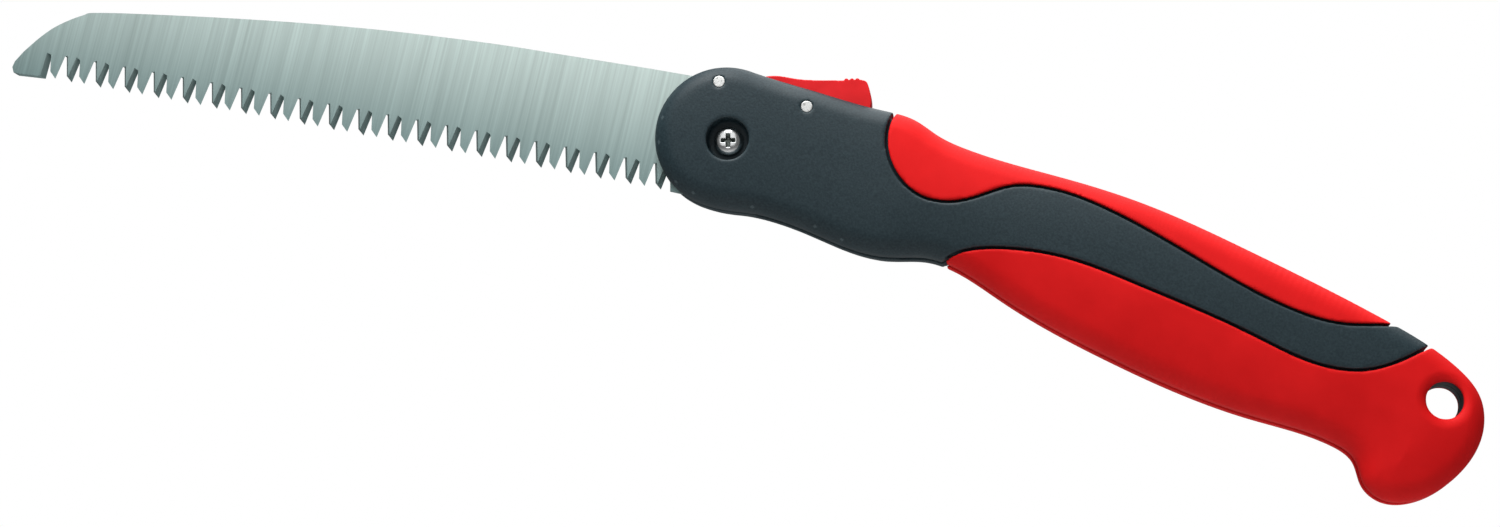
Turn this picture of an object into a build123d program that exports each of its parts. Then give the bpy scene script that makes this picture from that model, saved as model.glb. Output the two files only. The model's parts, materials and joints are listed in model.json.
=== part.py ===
from build123d import *
import os
from math import cos, radians, sin

# Folding pruning saw, opened and locked. Millimetres.
# The origin is the centre of the hanging hole. +X runs from the blade's tip to the butt, +Z is up,
# and the saw is 2 * half_thickness wide along Y, with its parting plane at Y = 0 and its front at -Y.

os.makedirs("parts", exist_ok=True)

# Lengths
blade_reach = 200.7          # pivot to the blade's tip
tip_to_hole = 0.9            # how much further from the pivot the hanging hole lies
handle_length = blade_reach + tip_to_hole

# Angles, in degrees
handle_slope = 21.0          # fall of the handle's axis towards the butt
tooth_line_slope = 11.2      # rise of the tooth line towards the tip
fold_angle = 161.0           # turn of the blade from open to folded
press_angle = 7.5            # rock of the lever that frees the blade

# Handle
half_thickness = 12.5        # at the fullest part of the grip
head_half_thickness = 9.5
butt_half_thickness = 9.8
edge_round = 5.0
pad_thickness = 2.2          # soft grip over the hard shell
pad_groove = 0.4             # half of the groove between a pad and the shell
head_radius = 19.1           # of the round end, about head_centre
head_centre = (-1.4, 1.0)    # from the pivot
core_depth = 6.8             # how deep the coring reaches from the parting plane
roof_thickness = 2.4         # between the slot and the coring above it
rib_pitch = 20.0
rib_thickness = 2.0
hole_radius = 5.0            # hanging hole

# Blade
blade_thickness = 1.2
tooth_line = 15.4            # tooth tips below the pivot, square to the tooth line
blade_back = 16.8            # back edge above the pivot
gullet_depth = 6.7
first_tooth = 16.2           # from the pivot, along the tooth line
nose_length = 10.3           # of the toothless block at the tip
nominal_pitch = 8.34         # of a pair of teeth
tang_radius = 11.9
lug_radius = 14.1
lug_width = 6.2              # degrees
lug_gap = 0.45               # degrees, between a lug and the pawl's nose
lug_root = 10.0              # where the lugs start, inside the tang
stem_of_nose = 16.6          # the pawl's nose stands on its stem here, from the pivot

# Clearances
washer_thickness = 0.5
slot_half_width = 2.0
slot_start = 10.0            # from the pivot, along the folded blade
slot_room = 1.6              # between the folded teeth and the slot's roof
tip_room = 2.8               # between the folded tip and the slot's end
bearing_end = 13.2           # from the pivot; the shells lie close to the blade up to here
turning_fit = 0.05           # radial, where one piece turns on another
pawl_to_teeth = 0.4          # between the pawl and the folded teeth
lever_to_teeth = 0.8
lever_side_room = 0.2

# Pivot
sleeve_radius = 3.5
screw_radius = 2.0
screw_head_radius = 3.9
screw_head_height = 2.5
screw_recess_radius = 5.8
cross_width = 0.9            # of the cross in the screw's head
cross_depth = 0.6            # as a share of a head's height, also in the shell screws
shank_spare = 0.5            # screw beyond the nut
ear_outer = 4.4              # seats of screw head and nut, from the parting plane
thrust_washer_radius = 10.5
nut_across_flats = 7.0
nut_height = 3.2
nut_pocket_fit = 0.1
lock_washer_radius = 3.4
lock_washer_height = 0.9
washer_split = 0.6

# Pins and lever
pin_radius = 1.6
pin_setback = 0.2            # pin ends below the shell's face
lever_half_width = 4.0
pawl_half_thickness = 1.0
nose_angle = 70.0            # of the pawl's nose, seen from the pivot, above +X
nose_width = 7.9             # degrees
nose_reach = 12.2            # from the pivot
pawl_hub_radius = 3.0
lever_hub_radius = 4.5
ridge_radius = 0.5           # thumb ridges on the lever
ridge_pitch = 1.5
spring_radius = 2.5
spring_wire = 0.3
spring_turns = 5
spring_room = 0.5
spring_seat = -5.0           # below the lever pin
spring_cup = 4.0             # above the lever pin
spring_along = 12.8          # from the lever pin towards the butt

# Shell screws
shell_screw_radius = 1.5
shell_screw_head_radius = 2.8
shell_screw_head_height = 2.0
shell_screw_seat = 8.2       # under the head, from the parting plane
shell_screw_length = 15.5
boss_radius = 3.3
screw_hole_room = 0.1        # radial, round the shank in the rear shell
head_hole_room = 0.3
shell_cross_width = 0.7
pilot_spare = 0.2            # of the front shell's hole past the screw's tip

# Derived values
ear_gap = blade_thickness / 2 + washer_thickness
slope = radians(handle_slope)
pivot = Vector(-handle_length * cos(slope), 0, handle_length * sin(slope))
nose_corner = blade_reach - nose_length
tooth_pairs = round((nose_corner - first_tooth) / nominal_pitch)
tooth_pitch = (nose_corner + 0.9 - first_tooth) / tooth_pairs
lug_step = nose_width / 2 + lug_gap + lug_width / 2


def turned_plane(origin, angle, normal):
    """A plane square to Y whose x axis is turned by angle above +X."""
    along = (cos(radians(angle)), 0, sin(radians(angle)))
    return Plane(origin=origin, x_dir=along, z_dir=normal)


# Handle outlines are drawn in handle_plane: x along the handle towards the butt, y above its axis.
handle_plane = turned_plane((0, 0, 0), -handle_slope, (0, -1, 0))
# Blade outlines are drawn in blade_plane: x along the tooth line towards the tip, y towards the back.
blade_plane = turned_plane(pivot, 180 - tooth_line_slope, (0, 1, 0))
folded_plane = turned_plane(pivot, 180 - tooth_line_slope + fold_angle, (0, 1, 0))
# The lock is drawn in level planes: x along +X and y along +Z, from the pivot and from the lever pin.
pivot_plane = turned_plane(pivot, 0, (0, -1, 0))


def head(along, height):
    """A point measured from the pivot."""
    return (along - handle_length, height)


def grip(share, height):
    """A point at a share of the way from the pivot to the hanging hole."""
    return ((share - 1) * handle_length, height)


def butt(along, height):
    """A point measured from the hanging hole."""
    return (along, height)


def polar(radius, angle):
    return (radius * cos(radians(angle)), radius * sin(radians(angle)))


stop_pin_spot = head(-7.8, 13.9)
lever_pin_spot = head(16.9, 15.6)
stop_pin_center = handle_plane.from_local_coords(Vector(*stop_pin_spot))
lever_pin_center = handle_plane.from_local_coords(Vector(*lever_pin_spot))
lever_plane = turned_plane(lever_pin_center, 0, (0, -1, 0))
screw_spots = [grip(0.415, 9.0), grip(0.692, 4.5), butt(-24.0, 5.5)]

# Outline of the handle and head
handle_edge = Spline(
    head(head_centre[0], head_centre[1] + head_radius), head(17.6, 21.0), head(35.6, 22.2), head(45.1, 22.7),
    head(52.6, 20.8), head(60.0, 20.0), grip(0.449, 21.6), grip(0.544, 22.2),
    grip(0.702, 19.8), butt(-20.0, 14.8), butt(0.4, 9.7), butt(8.6, 4.4),
    butt(12.3, -4.5), butt(9.8, -17.0), butt(1.4, -27.2), butt(-6.0, -29.8),
    butt(-12.5, -27.3), butt(-16.6, -22.3), butt(-23.5, -20.1), grip(0.777, -20.8),
    grip(0.563, -19.1), grip(0.411, -14.0), head(60.2, -11.3),
    head(51.4, -14.4), head(45.4, -15.6), head(25.6, -15.2), head(11.0, -16.2),
    head(head_centre[0], head_centre[1] - head_radius),
    tangents=[(1, 0), (-1, 0)],
)


def beside(curve, distance):
    """A spline that follows curve at a distance to its left."""
    places = [number / 90 for number in range(91)]
    return Spline(
        *[curve @ place + (curve % place).rotate(Axis.Z, 90) * distance for place in places],
        tangents=[curve % 0, curve % 1],
    )


def handle_outline(edge, inset=0.0):
    """The outline inside an edge, closed by the round end of the head."""
    with BuildSketch(handle_plane) as sketch:
        with BuildLine():
            add(edge)
            ThreePointArc(
                edge @ 1, head(head_centre[0] - head_radius + inset, head_centre[1]), edge @ 0
            )
        make_face()
    return sketch.sketch


# Half thickness along the handle, as a region between the parting plane and the front face
side_plane = Plane(
    origin=(0, 0, 0), x_dir=handle_plane.x_dir, z_dir=(sin(slope), 0, cos(slope))
)
with BuildSketch(side_plane) as thickness:
    with BuildLine():
        face_line = Spline(
            head(-24.0, -head_half_thickness + 0.4), head(0, -head_half_thickness),
            head(30.0, -head_half_thickness - 0.2), grip(0.36, -half_thickness + 0.8),
            grip(0.58, -half_thickness), grip(0.80, -half_thickness + 0.8),
            butt(0, -butt_half_thickness), butt(16.0, -butt_half_thickness + 0.6),
        )
        Polyline(face_line @ 1, butt(16.0, 0), head(-24.0, 0), face_line @ 0)
    make_face()

reach_of_cut = 60.0          # longer than any piece is high

# Front half of the handle as one solid body, and the hard core that the soft pads lie on
with BuildPart() as front_half:
    extrude(handle_outline(handle_edge), amount=2 * half_thickness)
    extrude(thickness.sketch, amount=reach_of_cut, both=True, mode=Mode.INTERSECT)
    front_face = front_half.faces().sort_by(Axis.Y)[0]
    fillet(front_face.edges(), radius=edge_round)

core_thickness = thickness.sketch.moved(Location((0, pad_thickness, 0)))
core_edge = beside(handle_edge, -pad_thickness)
with BuildPart() as front_core:
    extrude(handle_outline(core_edge, pad_thickness), amount=2 * half_thickness)
    extrude(core_thickness, amount=reach_of_cut, both=True, mode=Mode.INTERSECT)

# Inner edges of the soft pads
upper_pad_edge = Spline(
    head(40.6, 26.0), head(39.4, 17.5), head(43.4, 9.0), head(54.6, 3.1),
    head(66.5, 6.6), head(75.5, 13.6), grip(0.425, 16.8), grip(0.51, 16.7),
    grip(0.62, 13.1), grip(0.777, 8.4), butt(-33.0, 9.2), butt(-20.0, 13.9),
    butt(-13.0, 17.0),
)
lower_pad_edge = Spline(
    butt(-5.0, 16.0), butt(-9.5, 10.8), butt(-21.5, 0.3), butt(-34.0, -2.9),
    grip(0.74, -1.6), grip(0.58, 0.5), head(98.0, 0.8), head(80.0, -2.5),
    head(66.3, -10.0), head(63.3, -16.0),
)


def upper_region(growth):
    """Where the upper pad covers the shell, with its inner edge moved out by growth."""
    with BuildSketch(handle_plane) as sketch:
        with BuildLine():
            edge = beside(upper_pad_edge, -growth)
            Polyline(edge @ 1, butt(-13.0, 32.0), head(40.6, 32.0), edge @ 0)
        make_face()
    return sketch.sketch


def lower_region(growth):
    """Where the lower pad covers the shell, with its inner edge moved out by growth."""
    with BuildSketch(handle_plane) as sketch:
        with BuildLine():
            edge = beside(lower_pad_edge, -growth)
            Polyline(edge @ 1, head(63.3, -36.0), butt(20.0, -36.0), butt(20.0, 16.0), edge @ 0)
        make_face()
    return sketch.sketch


def radial_block(inner, outer, angle, width):
    """Corners of a block with radial flanks, centred on angle."""
    return [
        polar(inner, angle - width / 2), polar(outer, angle - width / 2),
        polar(outer, angle + width / 2), polar(inner, angle + width / 2),
    ]


# Slot for the folded blade: inside a circle that clears the tip, and below the slot's roof
slot_end = blade_reach + tip_room
roof = tooth_line + slot_room
with BuildSketch(folded_plane) as slot_region:
    Circle(slot_end)
    with Locations((slot_start, -roof)):
        Rectangle(
            2 * slot_end, 2 * slot_end, align=(Align.MIN, Align.MIN), mode=Mode.INTERSECT
        )

with BuildSketch(handle_plane) as bearing_region:
    with Locations(head(bearing_end, 0)):
        Rectangle(2 * bearing_end + head_radius, 4 * head_radius, align=(Align.MAX, Align.CENTER))

with BuildSketch(lever_plane) as lever_pocket:
    with BuildLine():
        Polyline(
            (-15.6, 20.0), (-15.6, 1.2), (-6.0, 0.2), (-5.0, spring_seat),
            (17.9, spring_seat), (17.9, 20.0), close=True,
        )
    make_face()

with BuildPart() as blade_space:
    extrude(slot_region.sketch, amount=slot_half_width, both=True)
    extrude(bearing_region.sketch, amount=slot_half_width, both=True, mode=Mode.SUBTRACT)
    extrude(bearing_region.sketch, amount=ear_gap, both=True)
    extrude(lever_pocket.sketch, amount=lever_half_width + lever_side_room, both=True)

# Coring on both sides of the slot's roof, between ribs and around the screw bosses
core_start = 50.0
rib_count = int((handle_length - core_start - 20.0) / rib_pitch)
with BuildSketch(handle_plane) as coring_region:
    with BuildLine():
        upper_wall = Spline(
            head(core_start, 14.5), grip(0.45, 15.5), grip(0.58, 15.8), grip(0.72, 13.0),
            butt(-30.0, 8.0),
        )
        lower_wall = Spline(
            butt(-30.0, -13.5), grip(0.72, -14.6), grip(0.56, -12.8), grip(0.41, -8.0),
            head(60.0, -5.6), head(core_start, -8.0),
        )
        Line(upper_wall @ 1, lower_wall @ 0)
        Line(lower_wall @ 1, upper_wall @ 0)
    make_face()
    with Locations([head(core_start + rib_pitch * (rib + 1), 0) for rib in range(rib_count)]):
        Rectangle(rib_thickness, 4 * head_radius, mode=Mode.SUBTRACT)
    with Locations(screw_spots):
        Circle(boss_radius, mode=Mode.SUBTRACT)

with BuildSketch(folded_plane) as roof_band:
    with Locations((0, -roof - roof_thickness)):
        Rectangle(slot_end, roof_thickness, align=(Align.MIN, Align.MIN))

with BuildPart() as coring:
    extrude(coring_region.sketch, amount=core_depth)
    extrude(roof_band.sketch, amount=2 * core_depth, both=True, mode=Mode.SUBTRACT)

with BuildSketch(handle_plane) as cross_holes:
    with Locations(head(0, 0)):
        Circle(sleeve_radius)
    with Locations(stop_pin_spot, lever_pin_spot):
        Circle(pin_radius)
    with Locations(butt(0, 0)):
        Circle(hole_radius)

# The beds that the pads lie in, a groove wider than the pads all round
with BuildPart() as pad_beds:
    for region in (upper_region, lower_region):
        extrude(region(pad_groove), amount=2 * half_thickness)
    add(front_core.part, mode=Mode.SUBTRACT)

# All that the two shells have in common
with BuildPart() as front_blank:
    add(front_half.part)
    add(pad_beds.part, mode=Mode.SUBTRACT)
    add(blade_space.part, mode=Mode.SUBTRACT)
    add(coring.part, mode=Mode.SUBTRACT)
    extrude(cross_holes.sketch, amount=2 * half_thickness, mode=Mode.SUBTRACT)

with BuildPart() as front_shell:
    add(front_blank.part)
    with BuildSketch(pivot_plane.offset(ear_outer)):
        Circle(screw_recess_radius)
    extrude(amount=half_thickness, mode=Mode.SUBTRACT)
    with BuildSketch(handle_plane):
        with Locations(screw_spots):
            Circle(shell_screw_radius)
    extrude(amount=shell_screw_length - shell_screw_seat + pilot_spare, mode=Mode.SUBTRACT)
front_shell.part.label = "front_shell"
export_step(front_shell.part, "parts/front_shell.step")

with BuildPart() as rear_shell:
    mirror(front_blank.part, about=Plane.XZ)
    with BuildSketch(pivot_plane.offset(-ear_outer)):
        RegularPolygon(nut_across_flats / 2 + nut_pocket_fit, 6, major_radius=False)
    extrude(amount=-half_thickness, mode=Mode.SUBTRACT)
    with BuildSketch(handle_plane):
        with Locations(screw_spots):
            Circle(shell_screw_radius + screw_hole_room)
    extrude(amount=-half_thickness, mode=Mode.SUBTRACT)
    with BuildSketch(handle_plane.offset(-shell_screw_seat)):
        with Locations(screw_spots):
            Circle(shell_screw_head_radius + head_hole_room)
    extrude(amount=-half_thickness, mode=Mode.SUBTRACT)
rear_shell.part.label = "rear_shell"
export_step(rear_shell.part, "parts/rear_shell.step")


def soft_pad(region):
    """The front half of a soft pad over a region of the core."""
    with BuildPart() as pad:
        add(front_half.part)
        extrude(region(-pad_groove), amount=2 * half_thickness, mode=Mode.INTERSECT)
        add(front_core.part, mode=Mode.SUBTRACT)
        add(blade_space.part, mode=Mode.SUBTRACT)
        extrude(cross_holes.sketch, amount=2 * half_thickness, mode=Mode.SUBTRACT)
    return pad


front_upper_grip = soft_pad(upper_region)
front_upper_grip.part.label = "front_upper_grip"
export_step(front_upper_grip.part, "parts/front_upper_grip.step")

front_lower_grip = soft_pad(lower_region)
front_lower_grip.part.label = "front_lower_grip"
export_step(front_lower_grip.part, "parts/front_lower_grip.step")

with BuildPart() as rear_upper_grip:
    mirror(front_upper_grip.part, about=Plane.XZ)
rear_upper_grip.part.label = "rear_upper_grip"
export_step(rear_upper_grip.part, "parts/rear_upper_grip.step")

with BuildPart() as rear_lower_grip:
    mirror(front_lower_grip.part, about=Plane.XZ)
rear_lower_grip.part.label = "rear_lower_grip"
export_step(rear_lower_grip.part, "parts/rear_lower_grip.step")


# Blade
def on_back(reach_share, rise_share):
    """A point of the blade's back, at shares of its reach and of its height above the pivot."""
    return (reach_share * blade_reach, rise_share * blade_back)


# One pair of teeth: along it as a share of the pitch, and above the tips as a share of the gullet
tooth_profile = [
    (0, 0), (0.216, 0.224), (0.362, 1.0), (0.529, 0), (0.755, 0.269), (0.851, 0.955),
]
tooth_points = [
    (first_tooth + tooth_pitch * (pair + share), -tooth_line + gullet_depth * rise)
    for pair in range(tooth_pairs)
    for share, rise in tooth_profile
]
stop_on_blade = blade_plane.to_local_coords(stop_pin_center)
back_corner = (blade_back * stop_on_blade.X / stop_on_blade.Y, blade_back)

with BuildPart() as blade:
    with BuildSketch(blade_plane):
        with BuildLine():
            heel = Spline(
                (-0.66, -tang_radius), (1.99, -12.85), (4.83, -tooth_line + 1.2),
                (8.43, -tooth_line + 0.1), (first_tooth - 5.3, -tooth_line - 0.2),
                tangents=[(1, -0.3), (1, -0.1)],
            )
            heel_block = Polyline(
                heel @ 1, (first_tooth - 2.6, -tooth_line - 0.1),
                (first_tooth - 1.3, -tooth_line + 0.95 * gullet_depth), tooth_points[0],
            )
            teeth = Polyline(
                *tooth_points, (nose_corner, -tooth_line - 0.3),
                (blade_reach - 2.7, -tooth_line - 0.8),
            )
            nose = ThreePointArc(
                teeth @ 1, (blade_reach - 0.65, -tooth_line + 1.1),
                (blade_reach - 1.1, -tooth_line + 2.9),
            )
            back = Spline(
                nose @ 1, on_back(0.9855, -0.566), on_back(0.966, -0.265), on_back(0.946, -0.03),
                on_back(0.917, 0.199), on_back(0.889, 0.307), on_back(0.753, 0.536),
                on_back(0.615, 0.723), on_back(0.485, 0.855), on_back(0.346, 0.946),
                on_back(0.246, 0.97), on_back(0.126, 1.0),
            )
            Polyline(back @ 1, back_corner, (0, 0), heel @ 0)
        make_face()
        Circle(tang_radius)
        for angle in (-lug_step, lug_step - fold_angle, -lug_step - fold_angle):
            on_blade = 180 - tooth_line_slope - nose_angle - angle
            Polygon(*radial_block(lug_root, lug_radius, on_blade, lug_width), align=None)
        with Locations((stop_on_blade.X, stop_on_blade.Y)):
            Circle(pin_radius + turning_fit, mode=Mode.SUBTRACT)
        Circle(sleeve_radius + turning_fit, mode=Mode.SUBTRACT)
    extrude(amount=blade_thickness / 2, both=True)
blade.part.label = "blade"
export_step(blade.part, "parts/blade.step")

# Lock: a steel pawl moulded into the thumb lever
with BuildPart() as pawl_blank:
    with BuildSketch(pivot_plane):
        Polygon(*radial_block(nose_reach, stem_of_nose, nose_angle, nose_width), align=None)
    with BuildSketch(lever_plane):
        Polygon(
            (-16.2, 7.5), (-16.2, 5.4), (-13.2, 4.5), (-9.2, 3.4), (-2.6, 1.5), (8.8, 0.2),
            (8.8, 3.0), (-6.0, 7.2), align=None,
        )
        Circle(pawl_hub_radius)
    extrude(amount=pawl_half_thickness, both=True)
    with BuildSketch(folded_plane):
        with Locations((8.0, -tooth_line - pawl_to_teeth)):
            Rectangle(reach_of_cut, reach_of_cut, align=(Align.MIN, Align.MIN))
    extrude(amount=2 * pawl_half_thickness, both=True, mode=Mode.SUBTRACT)

with BuildPart() as lock_pawl:
    add(pawl_blank.part)
    with BuildSketch(lever_plane):
        Circle(pin_radius + turning_fit)
    extrude(amount=2 * pawl_half_thickness, both=True, mode=Mode.SUBTRACT)
lock_pawl.part.label = "lock_pawl"
export_step(lock_pawl.part, "parts/lock_pawl.step")

spring_foot = lever_pin_center + Vector(spring_along, 0, spring_seat)
cup_top = Plane(origin=lever_pin_center + Vector(spring_along, 0, spring_cup))
with BuildPart() as lock_lever:
    with BuildSketch(lever_plane):
        with BuildLine():
            lever_top = Spline(
                (-14.2, 7.8), (-11.0, 9.5), (-3.9, 8.8), (5.4, 8.1), (10.0, 8.0), (15.7, 8.1),
                tangents=[(1, 1.2), (1, 0)],
            )
            lever_tip = Spline(lever_top @ 1, (16.8, 4.8), (17.1, 2.3), (16.8, -0.3))
            Polyline(
                lever_tip @ 1, (4.4, -0.3), (0, 0), (-4.2, 1.6), (-14.2, 3.6), lever_top @ 0
            )
        make_face()
        Circle(lever_hub_radius)
        for ridge in range(3):
            with Locations((10.4 + ridge_pitch * ridge, 8.1)):
                Circle(ridge_radius)
    extrude(amount=lever_half_width, both=True)
    with BuildSketch(folded_plane):
        with Locations((0, -tooth_line - lever_to_teeth)):
            Rectangle(reach_of_cut, reach_of_cut, align=(Align.MIN, Align.MIN))
    extrude(amount=pawl_half_thickness + turning_fit, both=True, mode=Mode.SUBTRACT)
    add(pawl_blank.part, mode=Mode.SUBTRACT)
    with BuildSketch(lever_plane):
        Circle(pin_radius + turning_fit)
    extrude(amount=2 * lever_half_width, both=True, mode=Mode.SUBTRACT)
    with BuildSketch(cup_top):
        Circle(spring_radius + spring_room)
    extrude(amount=spring_seat - spring_cup, mode=Mode.SUBTRACT)
lock_lever.part.label = "lock_lever"
export_step(lock_lever.part, "parts/lock_lever.step")

coil_height = spring_cup - spring_seat - 2 * spring_wire
coil_radius = spring_radius - spring_wire
with BuildPart() as lever_spring:
    with BuildLine(Plane(origin=spring_foot + Vector(0, 0, spring_wire))):
        coil = Helix(coil_height / spring_turns, coil_height, coil_radius)
    with BuildSketch(Plane(origin=coil @ 0, z_dir=coil % 0)):
        Circle(spring_wire)
    sweep(path=coil)
lever_spring.part.label = "lever_spring"
export_step(lever_spring.part, "parts/lever_spring.step")


def cross_pin(spot):
    """A pin through both shells, ending just below their faces."""
    with BuildPart() as pin:
        with BuildSketch(handle_plane):
            with Locations(spot):
                Circle(pin_radius)
        extrude(amount=head_half_thickness - pin_setback, both=True)
    return pin


stop_pin = cross_pin(stop_pin_spot)
stop_pin.part.label = "stop_pin"
export_step(stop_pin.part, "parts/stop_pin.step")

lever_pin = cross_pin(lever_pin_spot)
lever_pin.part.label = "lever_pin"
export_step(lever_pin.part, "parts/lever_pin.step")

# Pivot: screw, sleeve, washers and nut on one axis
with BuildPart() as pivot_screw:
    with BuildSketch(pivot_plane.offset(ear_outer)):
        Circle(screw_head_radius)
    extrude(amount=screw_head_height)
    screw_top = pivot_screw.faces().sort_by(Axis.Y)[0]
    fillet(screw_top.edges(), radius=0.6 * screw_head_height)
    with BuildSketch(pivot_plane.offset(ear_outer)):
        Circle(screw_radius)
    extrude(amount=-2 * ear_outer - lock_washer_height - nut_height - shank_spare)
    with BuildSketch(pivot_plane.offset(ear_outer + screw_head_height)):
        Rectangle(screw_head_radius, cross_width)
        Rectangle(cross_width, screw_head_radius)
    extrude(amount=-cross_depth * screw_head_height, mode=Mode.SUBTRACT)
pivot_screw.part.label = "pivot_screw"
export_step(pivot_screw.part, "parts/pivot_screw.step")

with BuildPart() as pivot_sleeve:
    with BuildSketch(pivot_plane):
        Circle(sleeve_radius)
        Circle(screw_radius + turning_fit, mode=Mode.SUBTRACT)
    extrude(amount=ear_outer, both=True)
pivot_sleeve.part.label = "pivot_sleeve"
export_step(pivot_sleeve.part, "parts/pivot_sleeve.step")

with BuildPart() as front_thrust_washer:
    with BuildSketch(pivot_plane.offset(blade_thickness / 2)):
        Circle(thrust_washer_radius)
        Circle(sleeve_radius + turning_fit, mode=Mode.SUBTRACT)
    extrude(amount=washer_thickness)
front_thrust_washer.part.label = "front_thrust_washer"
export_step(front_thrust_washer.part, "parts/front_thrust_washer.step")

with BuildPart() as rear_thrust_washer:
    mirror(front_thrust_washer.part, about=Plane.XZ)
rear_thrust_washer.part.label = "rear_thrust_washer"
export_step(rear_thrust_washer.part, "parts/rear_thrust_washer.step")

with BuildPart() as lock_washer:
    with BuildSketch(pivot_plane.offset(-ear_outer)):
        Circle(lock_washer_radius)
        Circle(screw_radius + turning_fit, mode=Mode.SUBTRACT)
        with Locations((0, -lock_washer_radius)):
            Rectangle(washer_split, 2 * lock_washer_radius - screw_radius, mode=Mode.SUBTRACT)
    extrude(amount=-lock_washer_height)
lock_washer.part.label = "lock_washer"
export_step(lock_washer.part, "parts/lock_washer.step")

with BuildPart() as pivot_nut:
    with BuildSketch(pivot_plane.offset(-ear_outer - lock_washer_height)):
        RegularPolygon(nut_across_flats / 2, 6, major_radius=False)
        Circle(screw_radius, mode=Mode.SUBTRACT)
    extrude(amount=-nut_height)
pivot_nut.part.label = "pivot_nut"
export_step(pivot_nut.part, "parts/pivot_nut.step")

# Screws that hold the shells together, from the rear
for number, spot in enumerate(screw_spots, start=1):
    with BuildPart() as shell_screw:
        with BuildSketch(handle_plane.offset(-shell_screw_seat)):
            with Locations(spot):
                Circle(shell_screw_head_radius)
        extrude(amount=-shell_screw_head_height)
        screw_top = shell_screw.faces().sort_by(Axis.Y)[-1]
        fillet(screw_top.edges(), radius=0.5 * shell_screw_head_height)
        with BuildSketch(handle_plane.offset(-shell_screw_seat)):
            with Locations(spot):
                Circle(shell_screw_radius)
        extrude(amount=shell_screw_length)
        with BuildSketch(handle_plane.offset(-shell_screw_seat - shell_screw_head_height)):
            with Locations(spot):
                Rectangle(shell_screw_head_radius, shell_cross_width)
                Rectangle(shell_cross_width, shell_screw_head_radius)
        extrude(amount=cross_depth * shell_screw_head_height, mode=Mode.SUBTRACT)
    shell_screw.part.label = f"shell_screw_{number}"
    export_step(shell_screw.part, f"parts/shell_screw_{number}.step")
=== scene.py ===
import bmesh
import bpy
import json
import numpy as np
from math import atan2, cos, degrees, pi, radians, sin
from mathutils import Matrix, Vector, kdtree


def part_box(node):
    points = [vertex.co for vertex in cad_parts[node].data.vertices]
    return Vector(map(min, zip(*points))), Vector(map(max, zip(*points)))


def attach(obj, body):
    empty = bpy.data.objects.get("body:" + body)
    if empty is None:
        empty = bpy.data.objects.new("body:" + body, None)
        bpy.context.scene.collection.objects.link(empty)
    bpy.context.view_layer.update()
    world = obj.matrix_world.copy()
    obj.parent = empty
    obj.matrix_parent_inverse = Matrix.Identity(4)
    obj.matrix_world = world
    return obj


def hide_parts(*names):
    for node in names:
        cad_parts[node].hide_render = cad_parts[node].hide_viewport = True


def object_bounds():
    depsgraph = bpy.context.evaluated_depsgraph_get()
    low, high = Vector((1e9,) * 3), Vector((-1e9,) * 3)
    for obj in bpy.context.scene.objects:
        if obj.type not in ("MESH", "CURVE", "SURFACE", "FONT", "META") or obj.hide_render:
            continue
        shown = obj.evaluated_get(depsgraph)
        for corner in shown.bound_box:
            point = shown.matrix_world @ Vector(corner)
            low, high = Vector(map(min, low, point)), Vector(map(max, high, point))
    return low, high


# Folding pruning saw, open. The frame holds the solids; this script gives each visible one its finished
# surface. Lengths are millimetres here, and MM turns them into Blender's metres.
MM = 0.001

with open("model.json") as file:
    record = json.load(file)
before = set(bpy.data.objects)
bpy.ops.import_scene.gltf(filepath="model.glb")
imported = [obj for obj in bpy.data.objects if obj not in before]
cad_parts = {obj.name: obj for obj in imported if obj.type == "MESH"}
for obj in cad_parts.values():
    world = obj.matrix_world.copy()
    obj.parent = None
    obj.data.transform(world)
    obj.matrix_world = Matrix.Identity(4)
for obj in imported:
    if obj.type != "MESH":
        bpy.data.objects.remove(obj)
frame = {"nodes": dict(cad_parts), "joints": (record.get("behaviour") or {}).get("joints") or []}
cad_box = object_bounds()
nodes = frame["nodes"]
joints = {joint["name"]: joint for joint in frame["joints"]}
pivot = Vector(joints["blade_fold"]["pos_m"]) / MM
fold_angle = joints["blade_fold"]["range_deg"][1]
stop_low, stop_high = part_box("stop_pin")
stop_pin = (stop_low + stop_high) / 2 / MM

# The handle's own directions: along it towards the butt, and up
slope = radians(21.0)
along = Vector((cos(slope), 0, -sin(slope)))
upward = Vector((sin(slope), 0, cos(slope)))

# The blade's: along the tooth line towards the tip, and from the teeth towards the back
tooth_rise = 11.2            # degrees
to_tip = Vector((-cos(radians(tooth_rise)), 0, sin(radians(tooth_rise))))
to_back = Vector((sin(radians(tooth_rise)), 0, cos(radians(tooth_rise))))


# ---- Materials ----------------------------------------------------------------------------------

def material(name, color, roughness, metallic=0.0, **constants):
    """A new material, its node tree and its shader, with constants set on the shader's own sockets."""
    mat = bpy.data.materials.new(name)
    mat.use_nodes = True
    tree = mat.node_tree
    shader = tree.nodes["Principled BSDF"]
    shader.inputs["Base Color"].default_value = (*color, 1)
    shader.inputs["Roughness"].default_value = roughness
    shader.inputs["Metallic"].default_value = metallic
    for socket, value in constants.items():
        shader.inputs[socket.replace("_", " ")].default_value = value
    return mat, tree, shader


def noise(tree, size, detail=3.0, stretch=(1, 1, 1), turn=0.0):
    """Noise with features of about size millimetres, stretched along the object's axes."""
    place = tree.nodes.new("ShaderNodeTexCoord")
    mapping = tree.nodes.new("ShaderNodeMapping")
    mapping.vector_type = "TEXTURE"
    mapping.inputs["Rotation"].default_value = (0, turn, 0)
    mapping.inputs["Scale"].default_value = stretch
    texture = tree.nodes.new("ShaderNodeTexNoise")
    texture.inputs["Scale"].default_value = 1 / (size * MM)
    texture.inputs["Detail"].default_value = detail
    tree.links.new(place.outputs["Object"], mapping.inputs["Vector"])
    tree.links.new(mapping.outputs["Vector"], texture.inputs["Vector"])
    return texture.outputs["Fac"]


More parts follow.
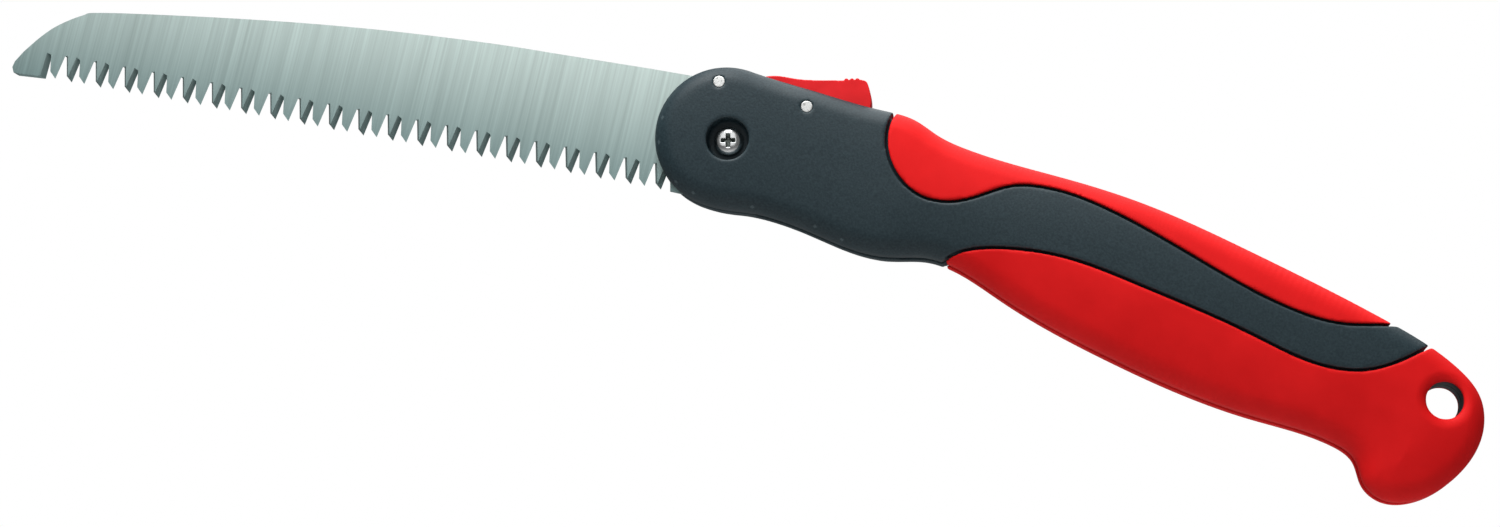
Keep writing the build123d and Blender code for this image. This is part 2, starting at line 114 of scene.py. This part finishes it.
def spread(tree, source, low, high, from_low=0.3, from_high=0.7):
    """source, rescaled so that from_low to from_high becomes low to high."""
    scale = tree.nodes.new("ShaderNodeMapRange")
    scale.inputs["From Min"].default_value = from_low
    scale.inputs["From Max"].default_value = from_high
    scale.inputs["To Min"].default_value = low
    scale.inputs["To Max"].default_value = high
    tree.links.new(source, scale.inputs["Value"])
    return scale.outputs["Result"]


def blended(tree, factor, first, second):
    """The colour first where factor is 0 and second where it is 1."""
    mix = tree.nodes.new("ShaderNodeMix")
    mix.data_type = "RGBA"
    mix.inputs["A"].default_value = (*first, 1)
    mix.inputs["B"].default_value = (*second, 1)
    tree.links.new(factor, mix.inputs["Factor"])
    return mix.outputs["Result"]


def combined(tree, blend_type, first, second):
    """Two colour outputs, added or multiplied."""
    mix = tree.nodes.new("ShaderNodeMix")
    mix.data_type = "RGBA"
    mix.blend_type = blend_type
    mix.inputs["Factor"].default_value = 1.0
    tree.links.new(first, mix.inputs["A"])
    tree.links.new(second, mix.inputs["B"])
    return mix.outputs["Result"]


def bumps(tree, shader, layers):
    """Bump from several (height, depth in millimetres) layers, one on the other."""
    below = None
    for height, depth in layers:
        bump = tree.nodes.new("ShaderNodeBump")
        bump.inputs["Distance"].default_value = depth * MM
        tree.links.new(height, bump.inputs["Height"])
        if below:
            tree.links.new(below, bump.inputs["Normal"])
        below = bump.outputs["Normal"]
    tree.links.new(below, shader.inputs["Normal"])


def grained_nylon():
    """Glass-filled nylon with a spark-eroded grain, a little paler on its edges: a painted edge
    highlight, partly wear.
    """
    mat, tree, shader = material("grained_nylon", (0.026, 0.042, 0.050), 0.55, Specular_IOR_Level=0.3)
    grain = noise(tree, 0.55, detail=4.0)
    cloud = noise(tree, 14.0, detail=2.0)
    color = blended(tree, spread(tree, grain, 0, 1), (0.010, 0.023, 0.030), (0.022, 0.042, 0.051))
    # Convex edges are painted paler: a painted highlight where rounded edges catch the light, partly
    # edge wear.
    edge = tree.nodes.new("ShaderNodeNewGeometry").outputs["Pointiness"]
    edge_highlight_and_wear = blended(tree, spread(tree, edge, 0, 0.55, 0.52, 0.6), (0, 0, 0), (0.075, 0.095, 0.1))
    tree.links.new(combined(tree, "ADD", color, edge_highlight_and_wear), shader.inputs["Base Color"])
    tree.links.new(spread(tree, cloud, 0.48, 0.6), shader.inputs["Roughness"])
    bumps(tree, shader, [(cloud, 0.05), (grain, 0.045)])
    return mat


def soft_rubber():
    """Matt thermoplastic rubber: a fine grain and faint wear clouds."""
    mat, tree, shader = material(
        "soft_rubber", (0.76, 0.008, 0.010), 0.6, Specular_IOR_Level=0.12
    )
    grain = noise(tree, 0.35, detail=4.0)
    cloud = noise(tree, 18.0, detail=3.0)
    color = blended(tree, spread(tree, cloud, 0, 1), (0.70, 0.006, 0.007), (0.82, 0.010, 0.011))
    tree.links.new(color, shader.inputs["Base Color"])
    tree.links.new(spread(tree, grain, 0.54, 0.66), shader.inputs["Roughness"])
    bumps(tree, shader, [(cloud, 0.04), (grain, 0.02)])
    return mat


def red_lever_plastic():
    """Moulded lever plastic, glossier than the grips."""
    mat, tree, shader = material(
        "lever_plastic_red", (0.80, 0.012, 0.016), 0.42, Specular_IOR_Level=0.22
    )
    grain = noise(tree, 0.5, detail=3.0)
    cloud = noise(tree, 6.0, detail=2.0)
    color = blended(tree, spread(tree, cloud, 0, 1), (0.78, 0.009, 0.013), (0.90, 0.015, 0.02))
    tree.links.new(color, shader.inputs["Base Color"])
    tree.links.new(spread(tree, grain, 0.36, 0.48), shader.inputs["Roughness"])
    bumps(tree, shader, [(grain, 0.012)])
    return mat


def ground_steel():
    """Cold-rolled blade steel, ground across the blade: fine lines and a few deeper ones."""
    mat, tree, shader = material("ground_steel", (0.62, 0.72, 0.69), 0.4, metallic=0.62)
    across = radians(13.0)
    fine = noise(tree, 0.5, detail=2.0, stretch=(1, 1, 120), turn=across)
    broad = noise(tree, 1.5, detail=3.0, stretch=(1, 1, 60), turn=across)
    cloud = noise(tree, 30.0, detail=2.0)
    place = tree.nodes.new("ShaderNodeTexCoord")
    height = tree.nodes.new("ShaderNodeVectorMath")
    height.operation = "DOT_PRODUCT"
    height.inputs[1].default_value = to_back
    tree.links.new(place.outputs["Object"], height.inputs[0])
    # Painted shade and light: the flat plate is darker towards its teeth and paler towards its back, as
    # light from above would fall on it.
    darkest, palest = pivot.dot(to_back) - 16.0, pivot.dot(to_back) + 18.0
    painted_shade_ramp = spread(tree, height.outputs["Value"], 0, 1, darkest * MM, palest * MM)
    color = blended(tree, painted_shade_ramp, (0.25, 0.365, 0.36), (0.69, 0.82, 0.78))
    for lines, low in ((broad, 0.86), (fine, 0.84)):
        shade = blended(tree, spread(tree, lines, 0, 1), (low, low, low), (1, 1, 1))
        color = combined(tree, "MULTIPLY", color, shade)
    tree.links.new(color, shader.inputs["Base Color"])
    tree.links.new(spread(tree, cloud, 0.34, 0.46), shader.inputs["Roughness"])
    bumps(tree, shader, [(broad, 0.004), (fine, 0.003)])
    return mat


def tooth_bevel_steel():
    """The ground flanks of the teeth: painted near black for the dark they reflect, with the wheel's
    marks across them.
    """
    # Near-black base colour: a painted reflection of dark surroundings on the ground steel.
    mat, tree, shader = material(
        "tooth_bevel_steel", (0.005, 0.007, 0.007), 0.7, Specular_IOR_Level=0.04
    )
    marks = noise(tree, 0.2, detail=2.0, stretch=(6, 1, 1), turn=radians(35.0))
    color = blended(tree, spread(tree, marks, 0, 1), (0.002, 0.004, 0.004), (0.009, 0.013, 0.012))
    tree.links.new(color, shader.inputs["Base Color"])
    tree.links.new(spread(tree, marks, 0.5, 0.65), shader.inputs["Roughness"])
    bumps(tree, shader, [(marks, 0.01)])
    return mat


def bright_steel(name, color, roughness, blotch):
    """Turned or stamped steel hardware: blotch is the size of its uneven patches."""
    mat, tree, shader = material(name, color, roughness, metallic=1.0)
    patches = noise(tree, blotch, detail=4.0)
    fine = noise(tree, 0.15, detail=2.0)
    dark = tuple(0.55 * channel for channel in color)
    tree.links.new(blended(tree, spread(tree, patches, 0, 1, 0.35, 0.5), dark, color),
                   shader.inputs["Base Color"])
    tree.links.new(spread(tree, patches, roughness + 0.15, roughness), shader.inputs["Roughness"])
    bumps(tree, shader, [(patches, 0.03), (fine, 0.004)])
    return mat


def washer_nylon():
    """Natural nylon of the thrust washers."""
    mat, tree, shader = material("natural_nylon", (0.7, 0.68, 0.6), 0.45)
    cloud = noise(tree, 3.0, detail=3.0)
    color = blended(tree, spread(tree, cloud, 0, 1), (0.62, 0.6, 0.52), (0.76, 0.74, 0.67))
    tree.links.new(color, shader.inputs["Base Color"])
    bumps(tree, shader, [(cloud, 0.02)])
    return mat


nylon = grained_nylon()
rubber = soft_rubber()
lever_plastic = red_lever_plastic()
blade_steel = ground_steel()
bevel_steel = tooth_bevel_steel()
pin_steel = bright_steel("pin_steel", (0.6, 0.61, 0.6), 0.34, 0.9)
chrome = bright_steel("plated_steel", (0.86, 0.88, 0.88), 0.14, 5.0)
dark_steel = bright_steel("blackened_steel", (0.16, 0.16, 0.17), 0.32, 2.0)
recess_steel = bright_steel("recess_steel", (0.30, 0.34, 0.32), 0.45, 2.0)
spring_steel = bright_steel("spring_steel", (0.6, 0.6, 0.6), 0.25, 1.5)
pale_nylon = washer_nylon()


def dress(obj, mat):
    """Give obj one material."""
    obj.data.materials.clear()
    obj.data.materials.append(mat)


def new_piece(name, mesh, body, stands_for):
    """A visible piece that rides on a body and stands for a CAD node."""
    piece = bpy.data.objects.new(name, mesh)
    bpy.context.scene.collection.objects.link(piece)
    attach(piece, body)
    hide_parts(stands_for)
    return piece


# ---- Moulded and turned pieces, refined from their solids -----------------------------------------

handle_outline = [
    (-203.0, 20.1), (-184.0, 21.0), (-166.0, 22.2), (-156.5, 22.7), (-149.0, 20.8), (-141.6, 20.0),
    (-111.1, 21.6), (-91.9, 22.2), (-60.1, 19.8), (-20.0, 14.8), (0.4, 9.7), (8.6, 4.4),
    (12.3, -4.5), (9.8, -17.0), (1.4, -27.2), (-6.0, -29.8), (-12.5, -27.3), (-16.6, -22.3),
    (-23.5, -20.1), (-45.0, -20.8), (-88.1, -19.1), (-118.7, -14.0), (-141.4, -11.3),
    (-150.2, -14.4), (-156.2, -15.6), (-176.0, -15.2), (-190.6, -16.2),
    (-203.0, -18.1), (-214.0, -14.6), (-220.6, -6.5), (-222.1, 1.0), (-220.6, 8.5), (-214.0, 16.6),
]


def between(before, start, end, after, part):
    """The point at part of the way from start to end on the Catmull-Rom curve through all four."""
    return 0.5 * (
        2 * start + (end - before) * part
        + (2 * before - 5 * start + 4 * end - after) * part ** 2
        + (3 * start - before - 3 * end + after) * part ** 3
    )


def outline_tree():
    """A search tree of points on the handle's outline, in the handle's own coordinates."""
    points = np.array(handle_outline)
    count = len(points)
    dense = []
    for index in range(count):
        neighbours = [points[(index + step) % count] for step in (-1, 0, 1, 2)]
        dense += [between(*neighbours, part) for part in np.linspace(0, 1, 24, endpoint=False)]
    tree = kdtree.KDTree(len(dense))
    for index, (u, v) in enumerate(dense):
        tree.insert((u, v, 0), index)
    tree.balance()
    return tree


edge_of_handle = outline_tree()
core_half = 2.5              # nothing nearer the parting plane than this moves
crown_width = 17.0           # the faces fall away over this distance from the outline
head_fall = 0.2              # how far they fall, as a share of their depth, on the head
grip_fall = 0.1              # and how much more on the grips
grip_start = -165.0          # from the hanging hole, along the handle
grip_blend = 35.0            # the head's fall turns into the grips' over this length
hole_radius = 5.0
rim_width = 3.0              # dished rim of the hanging hole
rim_fall = 0.16


def crown(co):
    """Round the handle's faces towards their edges, more on the grips than on the head."""
    u, v = co.dot(along), co.dot(upward)
    depth = abs(co.y)
    if depth <= core_half:
        return co
    inward = edge_of_handle.find((u, v, 0))[2]
    grip_share = min(max((u - grip_start) / grip_blend, 0), 1)
    fall = (head_fall + grip_fall * grip_share) * max(0, 1 - inward / crown_width) ** 2
    from_hole = max((u * u + v * v) ** 0.5 - hole_radius, 0)
    if from_hole < rim_width:
        fall += rim_fall * (1 - from_hole / rim_width) ** 2
    side = 1 if co.y > 0 else -1
    return Vector((co.x, side * (core_half + (depth - core_half) * (1 - fall)), co.z))


def bake(piece):
    """Apply the modifiers of piece to its mesh."""
    bpy.context.view_layer.update()
    evaluated = piece.evaluated_get(bpy.context.evaluated_depsgraph_get())
    mesh = bpy.data.meshes.new_from_object(evaluated)
    piece.modifiers.clear()
    piece.data = mesh


def round_edges(piece, voxel, rounding):
    """Remesh piece at voxel millimetres and smooth it a number of times."""
    remesh = piece.modifiers.new("remesh", "REMESH")
    remesh.mode = "VOXEL"
    remesh.voxel_size = voxel * MM
    smooth = piece.modifiers.new("smooth", "SMOOTH")
    smooth.iterations = rounding
    bake(piece)


def refined(node, name, body, mat, voxel, rounding, shape=None):
    """A copy of a solid's mesh, remeshed finely and with its sharp edges rounded."""
    piece = new_piece(name, nodes[node].data.copy(), body, node)
    round_edges(piece, voxel, rounding)
    if shape:
        for vertex in piece.data.vertices:
            vertex.co = shape(vertex.co / MM) * MM
    piece.data.shade_smooth()
    dress(piece, mat)


shell_voxel = 0.42
for side in ("front", "rear"):
    refined(f"{side}_shell", f"{side}_shell_moulding", "handle", nylon,
            shell_voxel, 3, crown)
    for level in ("upper", "lower"):
        refined(f"{side}_{level}_grip", f"{side}_{level}_pad", "handle", rubber,
                shell_voxel, 4, crown)

lever_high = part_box("lock_lever")[1] / MM
corner_radius = 1.9          # of the lever's free end, at the top
end_inset = 0.6              # of that corner, from the lever's box
top_inset = 1.7
corner_x = lever_high.x - end_inset - corner_radius
corner_z = lever_high.z - top_inset - corner_radius


def rounded_end(co):
    """Round the top corner of the lever's free end."""
    x, z = co.x - corner_x, co.z - corner_z
    reach = (x * x + z * z) ** 0.5
    if x <= 0 or z <= 0 or reach <= corner_radius:
        return co
    return Vector((
        co.x - x * (1 - corner_radius / reach), co.y, co.z - z * (1 - corner_radius / reach)
    ))


refined("lock_lever", "thumb_lever", "lever", lever_plastic, 0.2, 5, rounded_end)
refined("lock_pawl", "steel_pawl", "lever", pin_steel, 0.16, 2)
refined("stop_pin", "stop_pin_riveted", "handle", pin_steel, 0.16, 3, crown)
refined("lever_pin", "lever_pin_riveted", "handle", pin_steel, 0.16, 3, crown)
refined("pivot_nut", "plated_hex_nut", "handle", chrome, 0.12, 3)
for number in (1, 2, 3):
    refined(f"shell_screw_{number}", f"pan_head_screw_{number}", "handle",
            dark_steel, 0.14, 3)

for node, mat in (("pivot_sleeve", spring_steel), ("front_thrust_washer", pale_nylon),
                  ("rear_thrust_washer", pale_nylon), ("lock_washer", spring_steel),
                  ("lever_spring", spring_steel)):
    dress(nodes[node], mat)


# ---- Pivot screw: a domed head with a tapered cross recess -----------------------------------------

def lathe(bm, profile, segments=72):
    """Turn a (radius, y) profile, in millimetres from the pivot, into a closed solid about Y."""
    rings = []
    for radius, y in profile:
        if radius == 0:
            rings.append([bm.verts.new((pivot + Vector((0, y, 0))) * MM)])
            continue
        rings.append([
            bm.verts.new((pivot + Vector((radius * cos(a), y, radius * sin(a)))) * MM)
            for a in (2 * pi * step / segments for step in range(segments))
        ])
    for ring, following in zip(rings, rings[1:]):
        for step in range(segments):
            ahead = (step + 1) % segments
            corners = [ring[step % len(ring)], ring[ahead % len(ring)],
                       following[ahead % len(following)], following[step % len(following)]]
            bm.faces.new(list(dict.fromkeys(corners)))


def solid(name, build):
    """A scratch object made by a bmesh builder, with its faces pointing outwards."""
    bm = bmesh.new()
    build(bm)
    bmesh.ops.recalc_face_normals(bm, faces=bm.faces)
    mesh = bpy.data.meshes.new(name)
    bm.to_mesh(mesh)
    bm.free()
    obj = bpy.data.objects.new(name, mesh)
    bpy.context.scene.collection.objects.link(obj)
    return obj


screw_low, screw_high = (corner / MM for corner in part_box("pivot_screw"))
head_radius = (screw_high.x - screw_low.x) / 2
shank_radius = 2.0
seat = -4.4                  # the head's underside rests here
dome_height = 1.55
dome_power = 0.4
rim_depth = 1.75             # of the head's straight rim, below the crown
rim_chamfer = 0.15
tip_chamfer = 0.4


def dome_drop(radius):
    """How far the head's domed face lies below its crown at a radius."""
    return dome_height * (1 - (1 - (radius / head_radius) ** 2) ** dome_power)


def screw_body(bm):
    """The screw without its recess: head and shank."""
    crown_top, tip = screw_low.y, screw_high.y
    dome = [
        (radius, crown_top + dome_drop(radius))
        for radius in (head_radius * sin(radians(a)) for a in range(0, 90, 6))
    ]
    lathe(bm, dome + [
        (head_radius, crown_top + rim_depth), (head_radius, seat - rim_chamfer),
        (head_radius - rim_chamfer, seat), (shank_radius, seat),
        (shank_radius, tip - tip_chamfer), (shank_radius - tip_chamfer, tip), (0, tip),
    ])


# The recess's wings at the head's face and at its bottom: depth from the crown, reach, half width
wing_ends = ((-0.3, 2.35, 0.62), (1.7, 0.9, 0.36))
box_faces = ((0, 1, 2, 3), (4, 5, 6, 7), (0, 1, 5, 4), (1, 2, 6, 5), (2, 3, 7, 6), (3, 0, 4, 7))


def wing(bm, turn):
    """One tapering wing of the cross recess, turned about the screw's axis."""
    corners = []
    for y, reach, half in wing_ends:
        for end, edge in ((-1, -1), (1, -1), (1, 1), (-1, 1)):
            x, z = end * reach, edge * half
            spot = (x * cos(turn) - z * sin(turn), screw_low.y + y, x * sin(turn) + z * cos(turn))
            corners.append(bm.verts.new((pivot + Vector(spot)) * MM))
    for face in box_faces:
        bm.faces.new([corners[corner] for corner in face])


screw = solid("pivot_screw_cross_head", screw_body)
for turn in (0, pi / 2):
    cutter = solid("recess_cutter", lambda bm: wing(bm, turn))
    cut = screw.modifiers.new("recess", "BOOLEAN")
    cut.operation = "DIFFERENCE"
    cut.solver = "EXACT"
    cut.object = cutter
    bake(screw)
    bpy.data.objects.remove(cutter)
round_edges(screw, 0.09, 3)
screw.data.shade_smooth()
dress(screw, chrome)

# The walls of the recess get a darker, rougher steel than the plated head
recess_half = 0.6
recess_reach = 2.3
skin = 0.2                   # left plated, inside the head's face and its seat
screw.data.materials.append(recess_steel)
for polygon in screw.data.polygons:
    spot = polygon.center / MM - pivot
    across, out = sorted((abs(spot.x), abs(spot.z)))
    below_face = screw_low.y + dome_drop(out) + skin < spot.y < seat - skin
    if across < recess_half and out < recess_reach and below_face:
        polygon.material_index = 1
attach(screw, "handle")
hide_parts("pivot_screw")


# ---- Blade: a plate whose teeth are ground on alternate sides --------------------------------------
# s runs along the tooth line to the tip and w from the teeth to the back, both from the pivot.

half_thickness = 0.6
blade_reach = 200.7
tooth_line = -15.4
first_tooth = 16.2
nose_block = 9.4             # from the end of the last gullet to the tip
pairs = 21
pitch = (blade_reach - nose_block - first_tooth) / pairs
blade_back = 16.8
tang_radius = 11.9
lug_radius = 14.1
lug_width = 6.2              # degrees
bore_radius = 3.55
notch_radius = 1.65
nose_angle = 70.0            # where the pawl's nose stands
lug_step = 7.5               # from the nose to a lug's middle, in degrees
heel_gap = 0.5               # a lug ends at least this far before the heel, in degrees
heel_start = (1.0, -12.4)
arc_step = 5.0               # between points on the tang's round, in degrees


def at(radius, angle):
    """A blade point at a polar place about the pivot."""
    return (radius * cos(radians(angle)), radius * sin(radians(angle)))


def plain(points):
    """Outline points that are the same on both faces."""
    return [(point, point) for point in points]


# One pair of teeth, from a gullet: its place on the outline, and where the ground face starts,
# both from the first tip. The first tooth is ground in front, the second one behind.
ground_in_front = [((-1.18, 6.45), (-0.12, 6.95)), ((0, 0), (1.05, 1.35)),
                   ((1.8, 1.5), (1.15, 1.5)), ((2.96, 6.6), (2.36, 6.95))]
ground_behind = [((3.08, 6.7), (4.12, 7.15)), ((4.41, 0), (5.46, 1.35)),
                 ((6.3, 1.8), (5.65, 1.8)), ((7.08, 6.4), (6.48, 6.75))]


def tooth_row():
    """All the teeth, as (front point, rear point) pairs."""
    row = []
    for pair in range(pairs):
        start = first_tooth + pair * pitch
        for tooth in (ground_in_front, ground_behind):
            for sharp, ground in tooth:
                places = ground, sharp
                if tooth is ground_behind:
                    places = sharp, ground
                row.append(tuple((start + s, tooth_line + w) for s, w in places))
    return row


def smooth_curve(points, steps=8):
    """Points on a Catmull-Rom curve through points."""
    ends = [np.array(points[0]) * 2 - np.array(points[1]), *map(np.array, points),
            np.array(points[-1]) * 2 - np.array(points[-2])]
    curve = [
        tuple(between(*neighbours, part))
        for neighbours in zip(ends, ends[1:], ends[2:], ends[3:])
        for part in np.linspace(0, 1, steps, endpoint=False)
    ]
    return curve + [tuple(points[-1])]


def blade_loop():
    """The blade's outline from the heel along the teeth, round the tip and back to the tang."""
    heel = smooth_curve([heel_start, (4.83, -14.2), (8.43, -15.3), (10.9, -15.6)], 5)
    loop = plain(heel)
    loop += [((13.5, -15.25), (13.6, -15.5)), ((14.86, -9.2), (14.86, -9.2))]
    loop += tooth_row()
    loop += [((191.3, -8.6), (190.1, -9.05)), ((191.75, -15.35), (190.4, -15.7)),
             ((197.9, -15.8), (198.0, -16.2))]
    loop += plain([(199.4, -15.7), (200.05, -14.3), (199.7, -12.6)])
    loop += plain(smooth_curve([
        (197.8, -9.4), (193.9, -4.4), (189.9, -0.5), (184.0, 3.3), (178.5, 5.1), (151.1, 8.9),
        (123.5, 12.1), (97.4, 14.35), (69.4, 15.85), (49.3, 16.25), (25.2, 16.7),
    ]))
    stop_s, stop_w = (stop_pin - pivot).dot(to_tip), (stop_pin - pivot).dot(to_back)
    edge_angle = degrees(atan2(stop_w, stop_s))
    loop += plain([(blade_back * stop_s / stop_w, blade_back)])
    loop += plain([
        (stop_s + x, stop_w + y)
        for x, y in (at(notch_radius, edge_angle - turn) for turn in range(0, 181, 15))
    ])
    heel_angle = 360 + degrees(atan2(heel_start[1], heel_start[0]))
    lugs = sorted(
        (180 - tooth_rise - nose_angle - turn) % 360
        for turn in (-lug_step, lug_step - fold_angle, -lug_step - fold_angle)
    )
    angle = edge_angle
    for lug in lugs:
        low, high = lug - lug_width / 2, lug + lug_width / 2
        loop += plain([at(tang_radius, a) for a in np.arange(angle, low, arc_step)])
        lug_end = min(high, heel_angle - heel_gap)
        loop += plain([at(tang_radius, low), at(lug_radius, low), at(lug_radius, lug_end)])
        if high < heel_angle:
            loop += plain([at(tang_radius, high)])
        angle = high + arc_step
    return loop


def blade_plate(bm):
    """The blade: two faces, and the edge, the ground flanks and the bore between them."""
    loop = blade_loop()
    bore = [at(bore_radius, angle) for angle in range(0, 360, 6)]

    def ring(points, y):
        verts = [bm.verts.new((pivot + to_tip * s + to_back * w + Vector((0, y, 0))) * MM)
                 for s, w in points]
        edges = [bm.edges.new((a, b)) for a, b in zip(verts, verts[1:] + verts[:1])]
        return verts, edges

    faces = []
    for side, y in ((0, -half_thickness), (1, half_thickness)):
        outer, outer_edges = ring([point[side] for point in loop], y)
        inner, inner_edges = ring(bore, y)
        bmesh.ops.triangle_fill(bm, use_beauty=True, edges=outer_edges + inner_edges)
        faces.append((outer, inner))
    for front, rear in zip(*faces):
        for a, b, c, d in zip(front, front[1:] + front[:1], rear[1:] + rear[:1], rear):
            bm.faces.new((a, b, c, d)).material_index = 1


blade = solid("blade_plate", blade_plate)
dress(blade, blade_steel)
blade.data.materials.append(bevel_steel)
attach(blade, "blade")
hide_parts("blade")


# ---- Camera, light and floor ------------------------------------------------------------------------

camera_data = bpy.data.cameras.new("camera")
camera_data.lens = 84
camera_data.sensor_width = 36
camera_data.clip_start = 0.01
camera = bpy.data.objects.new("camera", camera_data)
bpy.context.scene.collection.objects.link(camera)
camera.location = (-0.1083, -0.9282, -0.1060)
camera.rotation_euler = (radians(90 + 8.89), 0, radians(4.59))
bpy.context.scene.camera = camera

middle = (cad_box[0] + cad_box[1]) / 2


def softbox(name, offset, size, power):
    """A square area light that looks at the middle of the saw."""
    data = bpy.data.lights.new(name, "AREA")
    data.size = size
    data.energy = power
    light = bpy.data.objects.new(name, data)
    bpy.context.scene.collection.objects.link(light)
    light.location = middle + Vector(offset)
    light.rotation_euler = Vector(offset).to_track_quat("Z", "Y").to_euler()


softbox("key", (-0.15, -0.38, 0.85), 0.7, 13)
softbox("top", (0.2, 0.25, 0.8), 0.8, 6)
softbox("front_fill", (-0.1, -1.0, 0.35), 0.9, 1.9)

world = bpy.data.worlds.new("studio")
bpy.context.scene.world = world
world.use_nodes = True
tree = world.node_tree
background = tree.nodes["Background"]
seen = tree.nodes.new("ShaderNodeLightPath").outputs["Is Camera Ray"]
room_light, seen_white = 0.13, 1.0
strength = spread(tree, seen, room_light, seen_white, 0, 1)
tree.links.new(strength, background.inputs["Strength"])
background.inputs["Color"].default_value = (1, 1, 1, 1)

bpy.context.scene.view_settings.view_transform = "Standard"


def floor_plane(bm):
    """A wide plane below the saw."""
    reach, drop = 8.0, 0.6
    bm.faces.new([
        bm.verts.new((middle.x + x * reach, middle.y + y * reach, middle.z - drop))
        for x, y in ((-1, -1), (1, -1), (1, 1), (-1, 1))
    ])


floor = solid("floor", floor_plane)
floor_mat, floor_tree, floor_shader = material("pale_floor", (0.82, 0.82, 0.82), 0.8)
paper = spread(floor_tree, noise(floor_tree, 40.0, detail=4.0), 0, 1)
paper_color = blended(floor_tree, paper, (0.80, 0.80, 0.80), (0.84, 0.84, 0.84))
floor_tree.links.new(paper_color, floor_shader.inputs["Base Color"])
dress(floor, floor_mat)

bpy.context.view_layer.update()
